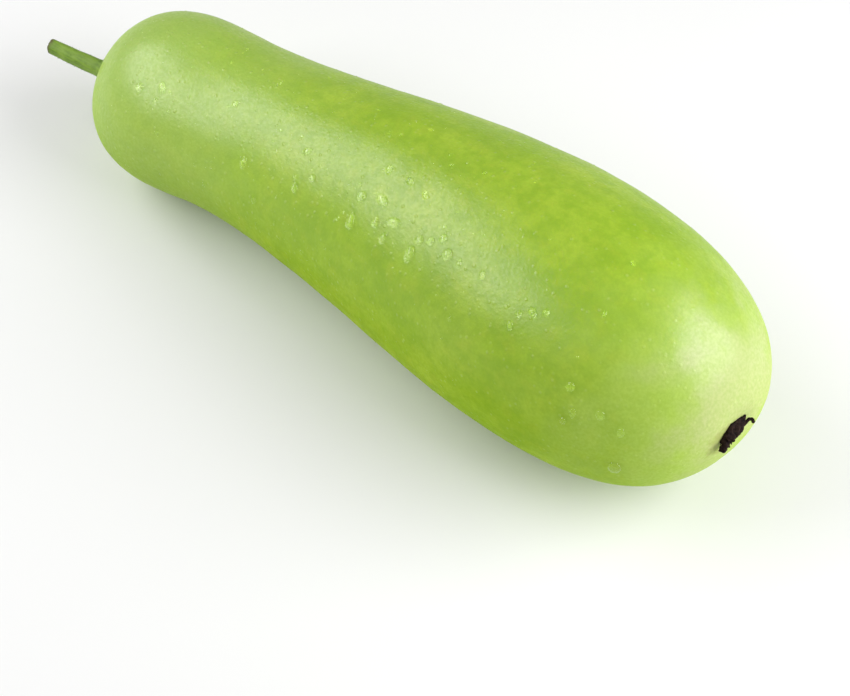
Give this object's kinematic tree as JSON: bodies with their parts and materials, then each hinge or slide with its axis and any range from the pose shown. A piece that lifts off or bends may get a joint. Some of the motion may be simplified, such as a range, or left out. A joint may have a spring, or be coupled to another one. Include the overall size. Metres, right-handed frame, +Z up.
{
  "type": "bottle gourd",
  "caption": "Whole bottle gourd lying on its side, club shaped with a slight waist, a cut stem at one end and the dried remains of its blossom at the other.",
  "frame": {"origin": "on the surface that the gourd lies on, under the middle of the whole object's box, stem and dried blossom included", "axes": "+X along the fruit towards its blossom end, so the stem is at -X; +Z up, away from the surface; +Y across the fruit"},
  "size_m": [0.3336, 0.1026, 0.0984],
  "materials": {
    "skin": "fresh pale green gourd skin, satin and slightly waxy",
    "stalk": "dull green stalk with a brownish cut end",
    "withered": "dry brown-black withered petals"
  },
  "bodies": {
    "root": {"fruit": "skin", "stem": "stalk", "dried_blossom": "withered"}
  },
  "joints": []
}
